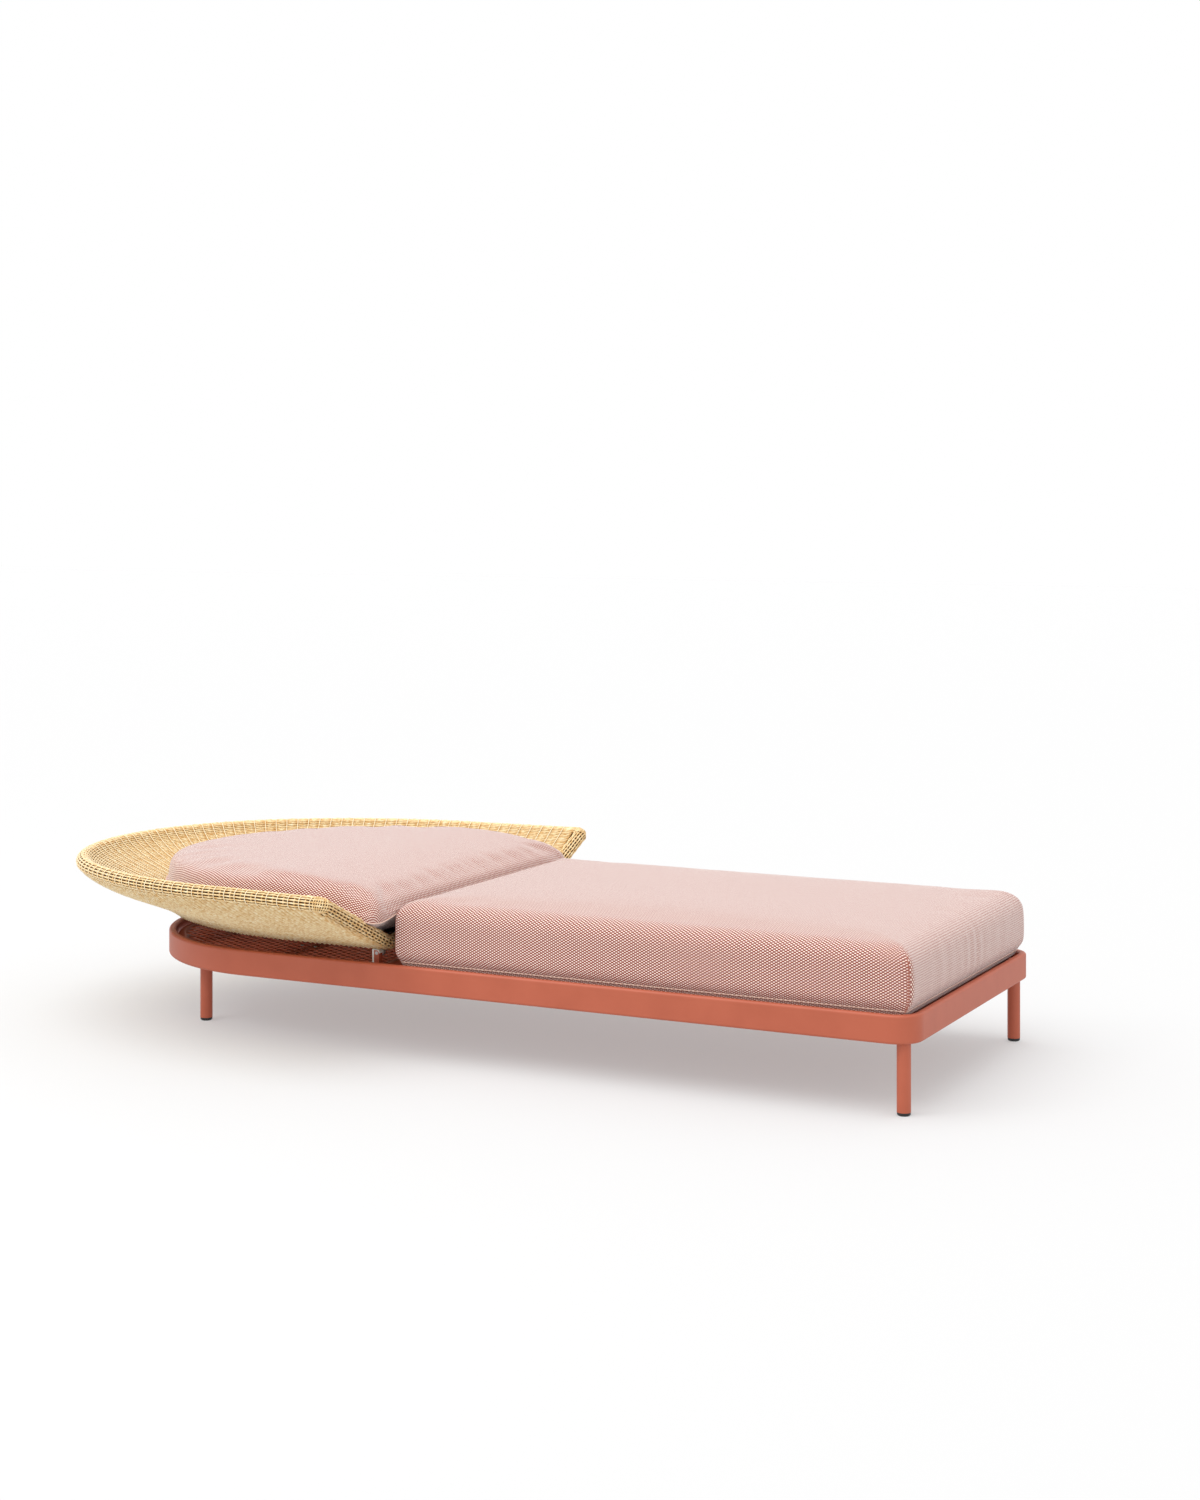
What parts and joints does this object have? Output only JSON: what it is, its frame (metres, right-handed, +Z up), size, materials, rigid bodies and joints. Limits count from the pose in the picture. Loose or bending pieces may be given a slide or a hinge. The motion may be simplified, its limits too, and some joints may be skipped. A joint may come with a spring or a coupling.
{
  "type": "sun lounger",
  "caption": "Low sun lounger with an oval metal base, a reclining woven shell at the head end and two loose cushions.",
  "frame": {"origin": "on the floor, under the middle of the lounger's box", "axes": "+X along the lounger towards the foot end, +Y across it, +Z up"},
  "size_m": [2.3495, 1.3158, 0.404],
  "materials": {
    "painted_frame": "fine matte powder coat",
    "bare_metal": "satin",
    "pin_steel": "satin",
    "nylon_white": "matte",
    "glide_black": "matte",
    "buffer_rubber": "matte",
    "wicker": "round woven strands, satin",
    "cushion_cloth": "dotted weave"
  },
  "bodies": {
    "base": {"head_hoop": "painted_frame", "rail_near": "painted_frame", "rail_far": "painted_frame", "foot_corners": "painted_frame", "foot_bar": "painted_frame", "seat_bars": "painted_frame", "hinge_bar": "painted_frame", "hoop_bars": "painted_frame", "deck_seat": "painted_frame", "deck_head": "painted_frame", "foot_leg_blocks": "painted_frame", "head_leg_plates": "painted_frame", "leg_foot_near": "painted_frame", "leg_foot_far": "painted_frame", "leg_head_near": "painted_frame", "leg_head_far": "painted_frame", "glides": "glide_black", "hinge_posts": "painted_frame", "post_strips": "nylon_white", "hinge_pins": "pin_steel", "rack_near": "bare_metal", "rack_far": "bare_metal", "rest_buffers": "buffer_rubber", "seat_cushion": "cushion_cloth"},
    "back": {"rim_tube": "bare_metal", "front_tube": "bare_metal", "belly_frame": "bare_metal", "back_ribs": "bare_metal", "belly_panel": "wicker", "outer_skin": "wicker", "inner_skin": "wicker", "rim_roll": "wicker", "front_roll": "wicker", "hinge_lugs": "bare_metal", "hinge_bushes": "nylon_white", "stay_brackets": "bare_metal", "stay_pins": "pin_steel", "head_cushion": "cushion_cloth"},
    "stay": {"stay": "bare_metal"}
  },
  "joints": [
    {"name": "back_recline", "type": "hinge", "parent": "base", "child": "back", "pos_m": [-0.16025, 0, 0.226], "axis": [0, 1, 0], "range_deg": [0, 45], "deforming": ["head_cushion"]},
    {"name": "stay_swing", "type": "hinge", "parent": "back", "child": "stay", "pos_m": [-0.46025, 0, 0.226], "axis": [0, 1, 0], "range_deg": [-90, 0]}
  ],
  "couplings": [
    {"joint": "stay_swing", "follows": "back_recline", "ratio": -2}
  ]
}
